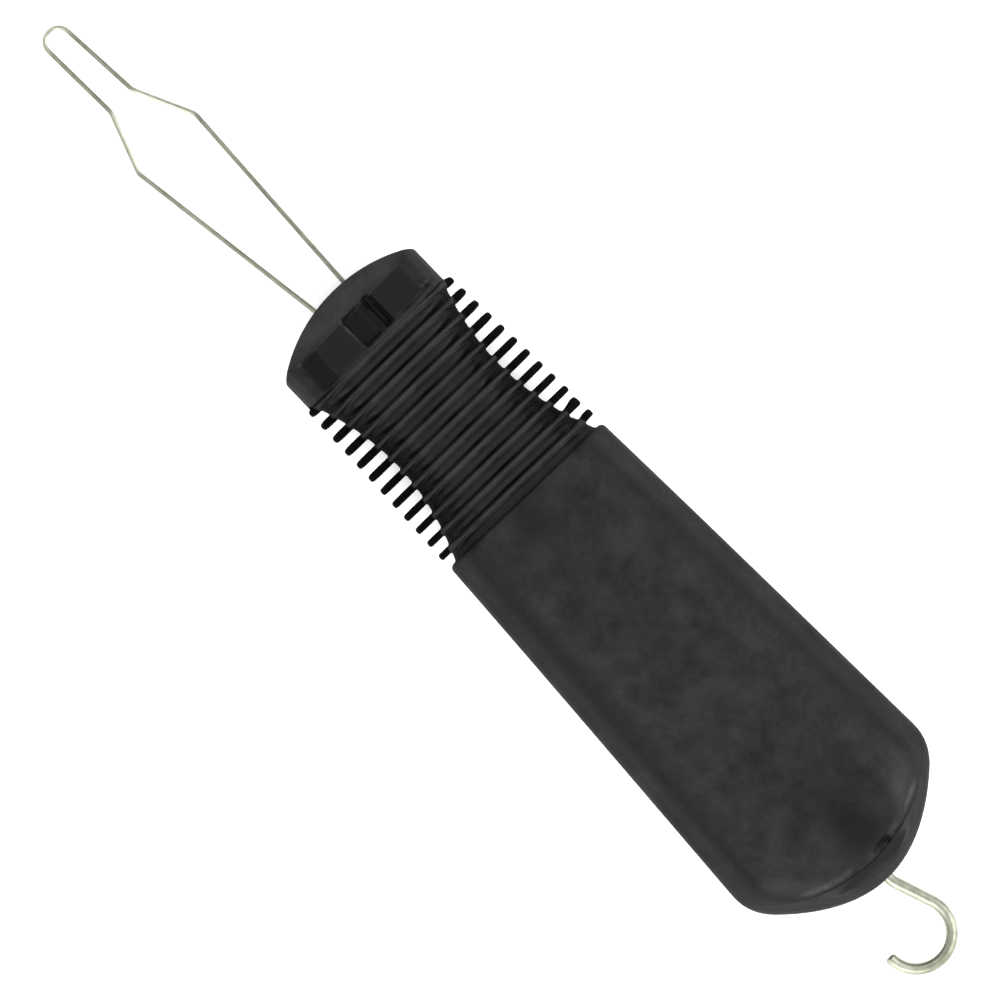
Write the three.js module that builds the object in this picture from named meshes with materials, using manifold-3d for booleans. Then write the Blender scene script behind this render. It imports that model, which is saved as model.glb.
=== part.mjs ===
// A button hook with a zip puller on its other end, a dressing aid with a
// broad soft handle. A rubber sleeve, ribbed by soft fins at the neck, covers
// a rigid two-part core. The core traps the bent feet of a wire loop, which
// pulls buttons through their holes, and of a stouter wire hook, which pulls
// zips. A plug closes the tail of the sleeve.
//
// All sizes are in millimetres. While the pieces are built, x runs from the
// nose of the handle (x = 0) to its tail, y runs across it, and z runs up from
// the flat underside that the tool rests on. The whole tool is centred last.

import * as THREE from "three";
import { mergeVertices } from "three/addons/utils/BufferGeometryUtils.js";
import Module from "manifold-3d";

const wasm = await Module();
wasm.setup();

// ---- driving dimensions ---------------------------------------------------

const gap = 0.3; // clearance between pieces that touch on the real tool

const handleLength = 127.1;
const handleThickness = 22;
const midZ = handleThickness / 2; // the wires and the core's parting plane
const sectionPower = 2.4; // superellipse power of the handle's rounded sides
const quarterSteps = 8; // facets in each quarter of a section

// the soft sleeve is not quite true: it bows along its length and its fins lean
const bow = { rise: 0.33, start: 12, length: 90, end: 118, skew: 0.75 };
const finLean = 0.01; // dy to dx, fading out towards the body

// nose cap, which sits a little low and is turned a little
const capEnd = 10.8;
const capShift = -0.3;
const capTurn = THREE.MathUtils.degToRad(2.3);
const capHalfWidth = 14.7;
const capHalfThickness = [9.4, 9.8]; // at the nose and at the first fin
const capFlatShare = 0.8; // flat part of the half width
const noseRadius = 25.5;
const noseOffset = 0.85; // the nose arc's centre is off the handle's line
const bevelRun = 4.2;
const bevelDrop = 5;

// recessed bays on both faces of the nose cap: [low y, high y, depth]; the pocket,
// the step and the slit of the stepped bay run into each other and the plain bay
const bayStart = 4.4;
const bayEnd = 10.2;
const plainBays = [[-11.8, -2.55, 0.42], [3.4, 10.6, 0.45]];
const steppedBay = [[-1.75, 1.1, 0.95], [0.9, 2.95, 0.6], [2.75, 3.6, 1.25]];

// fins and the waisted neck between them
const finCount = 12;
const firstFin = 11.42;
const lastFin = 42;
const finThickness = 1.15;
const finHalfWidth = [15.57, 16.67]; // first and last fin
const finHalfThickness = [9.9, 10.5];
const finRidge = 0.9; // height of a fin on the broad faces
const neckFlatShare = 0.45;
const waistX = 26.2;
const waistHalfWidth = 11.33;
const waistRadius = 41;

// body and tail
const bodyStart = 44.1;
const bodyHalfWidth = [16.55, 19.7]; // where the body starts and at its shoulder
const bodyFlatShare = 0.36;
const shoulderX = 112; // beyond it the faces and the sides round off
const tailRadius = 17.9; // of the tail's outline, a parabola, at its tip
const tailBlend = 3.2;
const seamX = 123; // crest of the seam between sleeve and plug
const seamRadius = 26;
const seamOffset = 0.1; // the seam's crest is off the handle's line
const seamHalfThickness = 9.3;
const plugDome = 4.1; // run of the plug's rounded end, seam to tip
const plugPower = 2.8; // superellipse power of that end, seen from the side
const notch = { length: 8, halfWidth: 2.2, depth: 1.1, y: 0.4 };

// core and the cavity that holds it
const coreStart = 7.4;
const coreEnd = 116.3;
const coreNarrowEnd = 46;
const coreWideStart = 54;
const coreNarrowHalf = 8;
const coreWideHalf = 13;
const coreHalfThickness = 6;
const coreEdge = 1.2; // rounding of the core's long edges
const peg = { radius: 1.5, height: 3, at: [[60, -9], [60, 9], [111, -9], [111, 9]] };

// wire loop for buttons, measured outwards from where it leaves the nose
const loopWire = 0.8;
const loopLean = THREE.MathUtils.degToRad(3);
const loopEntryY = -0.46;
const loopLegHalf = 3.25;
const loopWide = { out: 35.1, half: 6.5 };
const loopNeck = { out: 45, half: 2.45 };
const loopTip = { out: 58.6, half: 2.2 };
const loopLegInside = 24;
const loopFoot = 2.2;
const loopBend = 0.5;

// wire hook for zips
const hookWire = 1.9;
const hookKneeX = 128;
const hookCentre = new THREE.Vector2(136.65, -2.9);
const hookRadius = 5.65;
const hookFrom = THREE.MathUtils.degToRad(114);
const hookTo = THREE.MathUtils.degToRad(-92);
const hookShankInside = 27;
const hookFoot = 6;
const hookBend = 0.8;

// ---- solids ---------------------------------------------------------------

function toSolid(geometry) {
  geometry.deleteAttribute("normal");
  geometry.deleteAttribute("uv");
  const merged = mergeVertices(geometry, 1e-4);
  const vertProperties = Float32Array.from(merged.attributes.position.array);
  const triVerts = Uint32Array.from(merged.index.array);
  return new wasm.Manifold(new wasm.Mesh({ numProp: 3, vertProperties, triVerts }));
}

function toGeometry(solid) {
  const mesh = solid.getMesh();
  const geometry = new THREE.BufferGeometry();
  geometry.setAttribute("position", new THREE.BufferAttribute(mesh.vertProperties, 3));
  geometry.setIndex(new THREE.BufferAttribute(mesh.triVerts, 1));
  geometry.computeVertexNormals();
  return geometry;
}

function prism(shape, zLow, zHigh) {
  const depth = zHigh - zLow;
  const geometry = new THREE.ExtrudeGeometry(shape, { depth, bevelEnabled: false });
  return toSolid(geometry.translate(0, 0, zLow));
}

// a prism across the handle, from its outline in x and z, turned about z at the nose
function crossPrism(shape, halfWidth, turn = 0) {
  const depth = 2 * halfWidth;
  const geometry = new THREE.ExtrudeGeometry(shape, { depth, bevelEnabled: false });
  return toSolid(geometry.rotateX(Math.PI / 2).translate(0, halfWidth, 0).rotateZ(turn));
}

function box(low, high, turn = 0) {
  const size = high.map((value, axis) => value - low[axis]);
  const centre = high.map((value, axis) => (value + low[axis]) / 2);
  return toSolid(new THREE.BoxGeometry(...size).translate(...centre).rotateZ(turn));
}

function outlineShape(points) {
  return new THREE.Shape(points.map(([x, y]) => new THREE.Vector2(x, y)));
}

function lerp([from, to], share) {
  return THREE.MathUtils.lerp(from, to, share);
}

// ---- the handle's outside -------------------------------------------------

function bowAt(x) {
  if (x <= capEnd) return capShift;
  const share = Math.max(Math.min(x, bow.end) - bow.start, 0) / bow.length;
  return bow.rise * Math.sin(Math.PI * share ** bow.skew);
}

function leanAt(x) {
  return finLean * THREE.MathUtils.clamp((bodyStart - x) / 12, 0, 1);
}

// One closed section of the handle: flat in the middle of both broad faces,
// with a superellipse quarter at each corner.
function section({ x, halfWidth, halfThickness, flatShare }) {
  const flat = halfWidth * flatShare;
  const points = [];
  const add = (y, z) => {
    const across = y + bowAt(x);
    points.push(new THREE.Vector3(x - leanAt(x) * across, across, midZ + z));
  };
  for (let quarter = 0; quarter < 4; quarter++) {
    const ySide = quarter === 0 || quarter === 3 ? 1 : -1;
    const zSide = quarter < 2 ? 1 : -1;
    for (let step = 0; step <= quarterSteps; step++) {
      const fromSide = quarter % 2 === 0 ? step : quarterSteps - step;
      const angle = fromSide / quarterSteps * Math.PI / 2;
      if (fromSide === 0 && quarter % 2 === 1) continue;
      const reach = Math.cos(angle) ** (2 / sectionPower) * (halfWidth - flat) + flat;
      const rise = Math.sin(angle) ** (2 / sectionPower) * halfThickness;
      add(ySide * (fromSide === quarterSteps ? flat : reach), zSide * rise);
    }
  }
  return points;
}

function loft(stations) {
  const rings = stations.map(section);
  const count = rings[0].length;
  const last = rings.length - 1;
  const positions = rings.flat().flatMap((point) => [point.x, point.y, point.z]);
  positions.push(stations[0].x, 0, midZ, stations[last].x, 0, midZ);
  const startCentre = rings.length * count;
  const faces = [];
  for (let i = 0; i < count; i++) {
    const next = (i + 1) % count;
    for (let ring = 0; ring < last; ring++) {
      const a = ring * count + i;
      const b = ring * count + next;
      faces.push(a, b, b + count, a, b + count, a + count);
    }
    faces.push(startCentre, next, i);
    faces.push(startCentre + 1, last * count + i, last * count + next);
  }
  const geometry = new THREE.BufferGeometry();
  geometry.setAttribute("position", new THREE.Float32BufferAttribute(positions, 3));
  geometry.setIndex(faces);
  return toSolid(geometry);
}

function capStation(x, inset = 0) {
  const halfThickness = lerp(capHalfThickness, x / capEnd) - inset;
  return { x, halfWidth: capHalfWidth - inset, halfThickness, flatShare: capFlatShare };
}

function finStation(x) {
  const share = (x - firstFin) / (lastFin - firstFin);
  const halfThickness = lerp(finHalfThickness, share);
  return { x, halfWidth: lerp(finHalfWidth, share), halfThickness, flatShare: neckFlatShare };
}

function neckStation(x) {
  const halfWidth = waistHalfWidth + (x - waistX) ** 2 / (2 * waistRadius);
  const halfThickness = finStation(x).halfThickness - finRidge;
  return { x, halfWidth, halfThickness, flatShare: neckFlatShare };
}

// the smaller of two widths, with their crossing rounded off
function smoothMin(a, b, blend) {
  const overlap = Math.max(blend - Math.abs(a - b), 0) / blend;
  return Math.min(a, b) - overlap * overlap * blend / 4;
}

function tailHalfThickness(x) {
  if (x <= shoulderX) return midZ;
  const easing = Math.min((x - shoulderX) / (seamX - shoulderX), 1);
  const face = midZ - (midZ - seamHalfThickness) * easing ** 2;
  const dome = Math.max((x - seamX) / plugDome, 0);
  return face * (1 - dome ** plugPower) ** (1 / plugPower);
}

function bodyStation(x) {
  const side = lerp(bodyHalfWidth, (x - bodyStart) / (shoulderX - bodyStart));
  const end = Math.sqrt(2 * tailRadius * (handleLength - x));
  const halfWidth = smoothMin(side, end, tailBlend);
  return { x, halfWidth, halfThickness: tailHalfThickness(x), flatShare: bodyFlatShare };
}

function handleStations() {
  const stations = [capStation(-1), capStation(capEnd)];
  for (let fin = 0; fin < finCount; fin++) {
    const centre = lerp([firstFin, lastFin], fin / (finCount - 1));
    const front = centre - finThickness / 2;
    const back = centre + finThickness / 2;
    if (fin > 0) stations.push(neckStation(front));
    stations.push(finStation(front), finStation(back), neckStation(back));
  }
  stations.push(neckStation(bodyStart));
  // the body starts with a small rounded shoulder
  const start = bodyStation(bodyStart);
  stations.push({ ...start, halfWidth: start.halfWidth - 0.6, halfThickness: midZ - 0.9 });
  stations.push({ ...bodyStation(bodyStart + 0.5), halfThickness: midZ - 0.4 });
  stations.push({ ...bodyStation(bodyStart + 2), halfThickness: midZ - 0.1 });
  for (const x of [49, 80, shoulderX, 113.5, 115, 117, 119, 121]) stations.push(bodyStation(x));
  for (const x of [seamX, 124.6, 125.6, 126.3, 126.75]) stations.push(bodyStation(x));
  stations.push(bodyStation(handleLength - 0.04));
  return stations;
}

// everything in front of the nose arc, and the bevels behind it on both faces
function noseTrim() {
  const reach = 17;
  const high = Math.PI - Math.asin((reach - noseOffset) / noseRadius);
  const low = Math.PI + Math.asin((reach + noseOffset) / noseRadius);
  const arc = new THREE.Shape();
  arc.moveTo(-3, -reach);
  arc.lineTo(-3, reach);
  arc.absarc(noseRadius, noseOffset, noseRadius, high, low, false);
  let trim = prism(arc, -1, handleThickness + 1);
  const slope = bevelDrop / bevelRun;
  for (const side of [1, -1]) {
    const edge = capStation(bevelRun).halfThickness;
    const points = [[bevelRun + 1, edge + slope], [-3, edge - slope * (bevelRun + 3)], [-3, edge + slope]];
    const wedge = outlineShape(points.map(([x, z]) => [x, midZ + side * z]));
    trim = trim.add(crossPrism(wedge, reach, capTurn));
  }
  return trim;
}

// shallow bays that follow the nose cap's rounded faces
function bayCuts(side) {
  let cuts = null;
  for (const [lowY, highY, depth] of [...plainBays, ...steppedBay]) {
    const far = midZ + side * (midZ + 1);
    const low = [bayStart, lowY, Math.min(midZ, far)];
    const high = [bayEnd, highY, Math.max(midZ, far)];
    const floor = loft([capStation(bayStart - 1, depth), capStation(bayEnd + 1, depth)]);
    const cut = box(low, high, capTurn).subtract(floor);
    cuts = cuts ? cuts.add(cut) : cut;
  }
  return cuts;
}

// everything beyond the seam, which is an arc across the handle
function beyondSeam(radius) {
  const reach = 23;
  const angle = Math.asin(reach / radius);
  const shape = new THREE.Shape();
  shape.moveTo(handleLength + 2, -reach);
  shape.lineTo(handleLength + 2, reach);
  shape.absarc(seamX - seamRadius, seamOffset, radius, angle, -angle, true);
  return prism(shape, -1, handleThickness + 1);
}

function tailNotch(side) {
  const sphere = new THREE.SphereGeometry(1, 16, 8).rotateX(Math.PI / 2);
  sphere.scale(notch.length, notch.halfWidth, notch.depth);
  return toSolid(sphere.translate(seamX, notch.y, midZ + side * (seamHalfThickness + 0.2)));
}

// ---- wires ----------------------------------------------------------------

// A line through points in the plane of the tool, with every corner rounded by
// a quadratic curve that starts and ends one bend length away from it.
function roundedPath(points, bend, curves = []) {
  const path = new THREE.CurvePath();
  let from = points[0];
  for (let i = 1; i < points.length; i++) {
    const corner = points[i];
    const next = points[i + 1];
    if (!next) {
      path.add(new THREE.LineCurve3(from, corner));
      break;
    }
    const before = corner.clone().lerp(from, bend / corner.distanceTo(from));
    const after = corner.clone().lerp(next, bend / corner.distanceTo(next));
    path.add(new THREE.LineCurve3(from, before));
    path.add(new THREE.QuadraticBezierCurve3(before, corner, after));
    from = after;
  }
  for (const curve of curves) path.add(curve);
  return path;
}

function arcPoints(centre, radius, from, to, count) {
  const points = [];
  for (let i = 0; i <= count; i++) {
    const angle = from + (to - from) * i / count;
    const x = centre.x + radius * Math.cos(angle);
    points.push(new THREE.Vector3(x, centre.y + radius * Math.sin(angle), midZ));
  }
  return points;
}

function sweep(path, radius, sides, steps) {
  const points = [];
  for (let i = 0; i < sides; i++) {
    const angle = i / sides * 2 * Math.PI;
    points.push([radius * Math.cos(angle), radius * Math.sin(angle)]);
  }
  const options = { steps, bevelEnabled: false, extrudePath: path };
  return new THREE.ExtrudeGeometry(outlineShape(points), options);
}

// a point of the wire loop, from its distance out of the nose and its offset
function loopPoint(out, offset) {
  const x = -out * Math.cos(loopLean) - offset * Math.sin(loopLean);
  const y = loopEntryY - out * Math.sin(loopLean) + offset * Math.cos(loopLean);
  return new THREE.Vector3(x, y, midZ);
}

// one leg of the loop, from its bent foot in the core out to the round tip
function loopLeg(side) {
  return [
    loopPoint(-loopLegInside, side * (loopLegHalf - loopFoot)),
    loopPoint(-loopLegInside, side * loopLegHalf),
    loopPoint(0, side * loopLegHalf),
    loopPoint(loopWide.out, side * loopWide.half),
    loopPoint(loopNeck.out, side * loopNeck.half),
  ];
}

function loopPath() {
  const tip = [];
  const tipSteps = 6;
  for (let i = 0; i <= tipSteps; i++) {
    const angle = Math.PI / 2 - Math.PI * i / tipSteps;
    const out = loopTip.out + loopTip.half * Math.cos(angle);
    tip.push(loopPoint(out, loopTip.half * Math.sin(angle)));
  }
  const points = [...loopLeg(1), ...tip, ...loopLeg(-1).reverse()];
  return roundedPath(points, loopBend);
}

function hookPath() {
  const turn = arcPoints(hookCentre, hookRadius, hookFrom, hookTo, 14);
  const shankEnd = handleLength - hookShankInside;
  const points = [
    new THREE.Vector3(shankEnd, hookFoot, midZ),
    new THREE.Vector3(shankEnd, 0, midZ),
    new THREE.Vector3(hookKneeX, 0, midZ),
    turn[0],
  ];
  const knees = roundedPath(points, hookBend);
  for (let i = 1; i < turn.length; i++) knees.add(new THREE.LineCurve3(turn[i - 1], turn[i]));
  return knees;
}

// ---- core, cavity and plug ------------------------------------------------

// plan outline of the core, or of the cavity when it is grown by the gap
function coreOutline(grow, start, end) {
  const narrow = coreNarrowHalf + grow;
  const wide = coreWideHalf + grow;
  const upper = [[end, wide], [coreWideStart, wide], [coreNarrowEnd, narrow], [start, narrow]];
  const lower = upper.map(([x, y]) => [x, -y]).reverse();
  return outlineShape([...upper, ...lower]);
}

function core(channels) {
  const outline = coreOutline(-coreEdge, coreStart + coreEdge, coreEnd - coreEdge);
  const bevel = { bevelThickness: coreEdge, bevelSize: coreEdge, bevelSegments: 2 };
  const depth = 2 * (coreHalfThickness - coreEdge);
  const block = new THREE.ExtrudeGeometry(outline, { depth, bevelEnabled: true, ...bevel });
  block.translate(0, 0, midZ - depth / 2);
  return toSolid(block).subtract(channels);
}

function pegs(radius, zLow, zHigh) {
  let all = null;
  for (const [x, y] of peg.at) {
    const cylinder = new THREE.CylinderGeometry(radius, radius, zHigh - zLow, 12);
    cylinder.rotateX(Math.PI / 2).translate(x, y, (zLow + zHigh) / 2);
    all = all ? all.add(toSolid(cylinder)) : toSolid(cylinder);
  }
  return all;
}

// ---- assembly -------------------------------------------------------------

const big = 200;
const loopSteps = 110;
const hookSteps = 44;
const loopChannel = toSolid(sweep(loopPath(), loopWire / 2 + gap, 8, loopSteps));
const hookChannel = toSolid(sweep(hookPath(), hookWire / 2 + gap, 12, hookSteps));
const channels = loopChannel.add(hookChannel);
const handle = loft(handleStations());

function gripSleeve() {
  const cavity = coreOutline(gap, coreStart - gap, handleLength);
  const hollow = coreHalfThickness + gap;
  let sleeve = handle.subtract(noseTrim()).subtract(beyondSeam(seamRadius));
  sleeve = sleeve.subtract(prism(cavity, midZ - hollow, midZ + hollow)).subtract(loopChannel);
  for (const side of [1, -1]) sleeve = sleeve.subtract(bayCuts(side)).subtract(tailNotch(side));
  return sleeve;
}

function coreHalf(upper) {
  const parting = gap / 2;
  const whole = core(channels);
  if (upper) {
    const above = box([-big, -big, midZ + parting], [big, big, midZ + big]);
    const sockets = pegs(peg.radius + gap, midZ, midZ + peg.height + gap);
    return whole.intersect(above).subtract(sockets);
  }
  const below = box([-big, -big, midZ - big], [big, big, midZ - parting]);
  return whole.intersect(below).add(pegs(peg.radius, midZ - 2, midZ + peg.height));
}

function tailPlug() {
  const cap = handle.intersect(beyondSeam(seamRadius + gap));
  const half = coreHalfThickness;
  const spigotStart = coreEnd + gap;
  const spigot = box([spigotStart, -coreWideHalf, midZ - half], [seamX + 1, coreWideHalf, midZ + half]);
  return cap.add(spigot.intersect(handle)).subtract(hookChannel);
}

function piece(name, geometry, color, roughness, metalness) {
  const material = new THREE.MeshStandardMaterial({ color, roughness, metalness });
  const mesh = new THREE.Mesh(geometry, material);
  mesh.name = name;
  return mesh;
}

const group = new THREE.Group();
group.add(piece("grip_sleeve", toGeometry(gripSleeve()), "#323433", 0.85, 0));
group.add(piece("tail_plug", toGeometry(tailPlug()), "#343635", 0.8, 0));
group.add(piece("core_upper_half", toGeometry(coreHalf(true)), "#d8d6cc", 0.6, 0));
group.add(piece("core_lower_half", toGeometry(coreHalf(false)), "#d8d6cc", 0.6, 0));
group.add(piece("button_wire", sweep(loopPath(), loopWire / 2, 8, loopSteps), "#b9b8a0", 0.35, 1));
group.add(piece("zip_hook", sweep(hookPath(), hookWire / 2, 12, hookSteps), "#c4c3ae", 0.3, 1));

// the origin is under the middle of the whole tool, on the surface it rests on
const bounds = new THREE.Box3().setFromObject(group);
group.position.x = -(bounds.min.x + bounds.max.x) / 2;

export default group;
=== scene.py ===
"""A button hook with a zip puller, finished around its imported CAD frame.

Shapes are worked out in millimetres in the handle's own coordinates: x runs
from the nose of the handle to its tail, y across it and z up from the plane
of the wires. place() turns them into the frame's metres.
"""

import math

import bpy
import numpy as np
from mathutils import Matrix, Vector


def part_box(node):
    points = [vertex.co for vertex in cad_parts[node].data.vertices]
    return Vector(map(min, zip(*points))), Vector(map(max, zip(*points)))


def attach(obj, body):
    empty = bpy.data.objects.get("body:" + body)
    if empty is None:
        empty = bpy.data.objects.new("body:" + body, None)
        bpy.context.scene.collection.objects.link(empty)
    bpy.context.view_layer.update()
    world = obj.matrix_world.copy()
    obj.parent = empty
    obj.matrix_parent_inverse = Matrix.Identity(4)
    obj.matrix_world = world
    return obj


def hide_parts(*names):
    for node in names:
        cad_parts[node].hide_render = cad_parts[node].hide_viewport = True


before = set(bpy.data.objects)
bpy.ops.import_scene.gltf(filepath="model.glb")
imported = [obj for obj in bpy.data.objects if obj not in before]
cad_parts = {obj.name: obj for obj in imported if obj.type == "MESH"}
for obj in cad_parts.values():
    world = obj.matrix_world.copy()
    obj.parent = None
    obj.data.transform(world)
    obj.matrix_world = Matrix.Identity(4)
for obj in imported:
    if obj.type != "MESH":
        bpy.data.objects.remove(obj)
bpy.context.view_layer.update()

# ---- sizes taken from the frame, in millimetres ----------------------------

MM = 0.001
SLEEVE_LOW, SLEEVE_HIGH = [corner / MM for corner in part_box("grip_sleeve")]
TAIL_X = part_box("tail_plug")[1].x / MM
NOSE_X = SLEEVE_LOW.x
MID_Z = (SLEEVE_LOW.z + SLEEVE_HIGH.z) / 2
HALF_THICKNESS = (SLEEVE_HIGH.z - SLEEVE_LOW.z) / 2
HANDLE_LENGTH = TAIL_X - NOSE_X
SEAM_X = SLEEVE_HIGH.x - NOSE_X

# ---- sizes mostly shared with the CAD model, in millimetres -----------------

GAP = 0.3
SECTION_POWER = 2.4

BOW_RISE, BOW_START, BOW_LENGTH, BOW_END, BOW_SKEW = 0.33, 12.0, 90.0, 118.0, 0.75
FIN_LEAN = 0.01  # fades out towards the body

CAP_END = 10.8
CAP_SHIFT = -0.3
CAP_TURN = math.radians(2.3)
CAP_HALF_WIDTH = 14.7
CAP_HALF_THICKNESS = (9.4, 9.8)
CAP_FLAT_SHARE = 0.8
NOSE_RADIUS = 25.5
NOSE_OFFSET = 0.85
BEVEL_RUN = 4.2
BEVEL_DROP = 5.0
BAY_START, BAY_END = 4.4, 10.2
BAYS = [  # how deep each recess across the nose cap is, from where to where, and how soft its edges are
    (0.42, -11.8, -2.35, 0.5),  # plain bay
    (0.25, -11.6, -8.3, 1.2),  # its deeper outer end
    (0.6, -2.0, 2.75, 0.4),  # step
    (0.35, -2.0, 1.1, 0.9),  # pocket, below the step
    (1.4, 2.7, 3.65, 0.95),  # slit
    (0.45, 3.6, 10.6, 0.7),  # plain bay
]
BAY_DEEP = 0.52  # deeper floors than this get a darker, less shiny rubber as painted shade
PLAIN_BAY = 0.42
RIB = (-2.35, -2.0)
GROOVE_DEPTH, GROOVE_START, GROOVE_END = 0.35, BAY_END - 0.35, BAY_END + 0.25
SOCKET_DEPTH, SOCKET_EDGE = 0.8, (0.3, 1.0)  # around each leg of the loop

FIN_COUNT = 12
FIRST_FIN, LAST_FIN = 11.42, 42.0
FIN_PITCH = (LAST_FIN - FIRST_FIN) / (FIN_COUNT - 1)
FIN_THICKNESS = 1.15
FIN_HALF_WIDTH = (15.57, 16.67)
FIN_HALF_THICKNESS = (9.9, 10.5)
FIN_RIDGE = 0.9
NECK_FLAT_SHARE = 0.45
FIN_BENDS = {0: (0.3, 0), 10: (0, 0.75), 11: (-0.25, 0.2)}  # shift and widening towards the nose
BEND_START, BEND_RUN, BEND_SHORTENING = 13.2, 2.6, 0.28
WALL_SHARES = (0.3, 0.6, 0.85)  # where the rings up a fin's wall are
WAIST_X, WAIST_HALF_WIDTH, WAIST_RADIUS = 26.2, 11.33, 41.0

BODY_START = 44.1
BODY_HALF_WIDTH = (16.55, 19.7)
BODY_FLAT_SHARE = 0.36
SHOULDER_X = 112.0
TAIL_RADIUS = 17.9
TAIL_BLEND = 3.2
SEAM_OFFSET = 0.1
SEAM_RADIUS = 26.0
SEAM_HALF_THICKNESS = 9.3
SEAM_GAP = 0.02
SLEEVE_EDGE, PLUG_LAND, PLUG_LIP = (0.03, 0.08), (0.03, 0.07), (0.02, 0.08)  # where it is shut, and open
SEAM_OPEN, SEAM_SHUT = 10.5, 14.0  # its groove closes up between these, from the seam's middle
CURL_START = 96.0  # from here to the seam the sleeve's rings take on the seam's curve
LIP_RUN, LIP_DROP = 1.7, 0.42  # the sleeve's slope down to the seam, beside the dish
LIP_SPAN = (3.6, 11.5, 2.5)  # from where to where, from DISH_Y, and how softly it ends
DISH_START, DISH_RUN, DISH_DEPTH, DISH_Y = 106.0, 9.0, 0.7, 0.8
DISH_SIDES = (-9.0, 0.5), (2.5, 9.5)  # the slopes on its -y and +y sides
PIT_DEPTH, PIT_EDGE = 0.42, (0.3, 2.2)
PIT_SIDES = (-1.4, 3.0), (3.4, 6.0)
PLUG_DOME, PLUG_POWER, PLUG_RISE = 4.1, 2.8, 2.3
PARTING_DEPTH = 0.06
SPIGOT_START = 116.6

CORE_START = 7.4
CORE_NARROW_END, CORE_WIDE_START = 46.0, 54.0
CORE_NARROW_HALF, CORE_WIDE_HALF = 8.0, 13.0
CORE_HALF_THICKNESS = 6.0

LOOP_WIRE = 0.8
LOOP_LEAN = math.radians(3)
LOOP_ENTRY_Y = -0.46
LOOP_LEG_HALF = 3.25
LOOP_WIDE = (35.1, 6.5)
LOOP_NECK = (45.0, 2.45)
LOOP_TIP = (58.6, 2.2)
LOOP_LEG_INSIDE = 24.0
LOOP_FOOT = 2.2
LOOP_BEND = 0.5

HOOK_WIRE = 1.9
HOOK_KNEE_X = 128.0
HOOK_CENTRE = (136.65, -2.9)
HOOK_RADIUS = 5.65
HOOK_FROM, HOOK_TO = math.radians(114), math.radians(-92)
HOOK_SHANK_INSIDE = 27.0
HOOK_FOOT = 6.0
HOOK_BEND = 0.8


def place(points):
    """Handle coordinates in millimetres to the frame's metres."""
    return (np.asarray(points, float) + (NOSE_X, 0, MID_Z)) * MM


def smoothstep(value, start, end):
    share = np.clip((value - start) / (end - start), 0, 1)
    return share * share * (3 - 2 * share)


def smooth_min(a, b, blend):
    overlap = np.maximum(blend - np.abs(a - b), 0) / blend
    return np.minimum(a, b) - overlap**2 * blend / 4


def smooth_max(a, b, blend):
    return -smooth_min(-a, -b, blend)


def lerp(pair, share):
    return pair[0] + (pair[1] - pair[0]) * share


# ---- the handle's section ----------------------------------------------------

FLAT_SHARES = [(1, 0.36, 12), (0.36, -0.28, 26), (-0.28, -1, 13)]  # from, to and steps across the flat
QUARTER_POINTS = 44


def ring_pattern():
    """Factors that turn a section into a ring: y = flat * a + (width - flat) * b and z = thickness * c."""
    angles = np.linspace(0, math.pi / 2, 2001)
    curve = np.stack([np.cos(angles), np.sin(angles)], 1) ** (2 / SECTION_POWER)
    steps = np.linalg.norm(np.diff(curve, axis=0), axis=1)
    length = np.concatenate([[0], np.cumsum(steps)])
    even = np.interp(np.linspace(0, length[-1], QUARTER_POINTS + 1), length, angles)
    across, up = np.cos(even) ** (2 / SECTION_POWER), np.sin(even) ** (2 / SECTION_POWER)
    flat = [np.linspace(start, end, count + 1)[:-1] for start, end, count in FLAT_SHARES]
    flat = np.concatenate(flat)[1:]
    ones, zeros = np.ones_like(across), np.zeros_like(flat)
    top = [(ones, across, up), (flat, zeros, zeros + 1), (-ones, -across[::-1], up[::-1])]
    halves = [np.concatenate([part[i] for part in top])[:-1] for i in range(3)]
    return [np.concatenate([half, -half]) for half in halves]


RING_A, RING_B, RING_C = ring_pattern()
RING_SIZE = len(RING_A)
RING_TURN = np.arctan2(RING_C, RING_A * 0.4 + RING_B * 0.6)  # a direction around the handle for each point
BOX_POWER = 8.0  # of the inner parts' sections, which are boxes with round corners


def section(half_width, half_thickness, flat_share):
    """y and z around one ring, or around many when the sizes are columns."""
    flat = half_width * flat_share
    return flat * RING_A + (half_width - flat) * RING_B, half_thickness * RING_C


def boxed(half_width, half_thickness):
    """y and z around the section of an inner part."""
    across, up = np.cos(RING_TURN), np.sin(RING_TURN)
    y = half_width * np.sign(across) * np.abs(across) ** (2 / BOX_POWER)
    return y, half_thickness * np.sign(up) * np.abs(up) ** (2 / BOX_POWER)


def cap_sizes(x):
    return CAP_HALF_WIDTH, lerp(CAP_HALF_THICKNESS, x / CAP_END), CAP_FLAT_SHARE


def fin_sizes(x):
    share = (x - FIRST_FIN) / (LAST_FIN - FIRST_FIN)
    return lerp(FIN_HALF_WIDTH, share), lerp(FIN_HALF_THICKNESS, share), NECK_FLAT_SHARE


def neck_sizes(x):
    half_width = WAIST_HALF_WIDTH + (x - WAIST_X) ** 2 / (2 * WAIST_RADIUS)
    return half_width, fin_sizes(x)[1] - FIN_RIDGE, NECK_FLAT_SHARE


def tail_half_thickness(x):
    easing = np.clip((x - SHOULDER_X) / (SEAM_X - SHOULDER_X), 0, 1)
    face = HALF_THICKNESS - (HALF_THICKNESS - SEAM_HALF_THICKNESS) * easing**2
    dome = np.clip((x - SEAM_X) / PLUG_DOME, 0, 1)
    return face * (1 - dome**PLUG_POWER) ** (1 / PLUG_POWER)


def body_sizes(x):
    side = lerp(BODY_HALF_WIDTH, (x - BODY_START) / (SHOULDER_X - BODY_START))
    end = np.sqrt(2 * TAIL_RADIUS * np.maximum(HANDLE_LENGTH - x, 0))
    return smooth_min(side, end, TAIL_BLEND), tail_half_thickness(x), BODY_FLAT_SHARE


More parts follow.
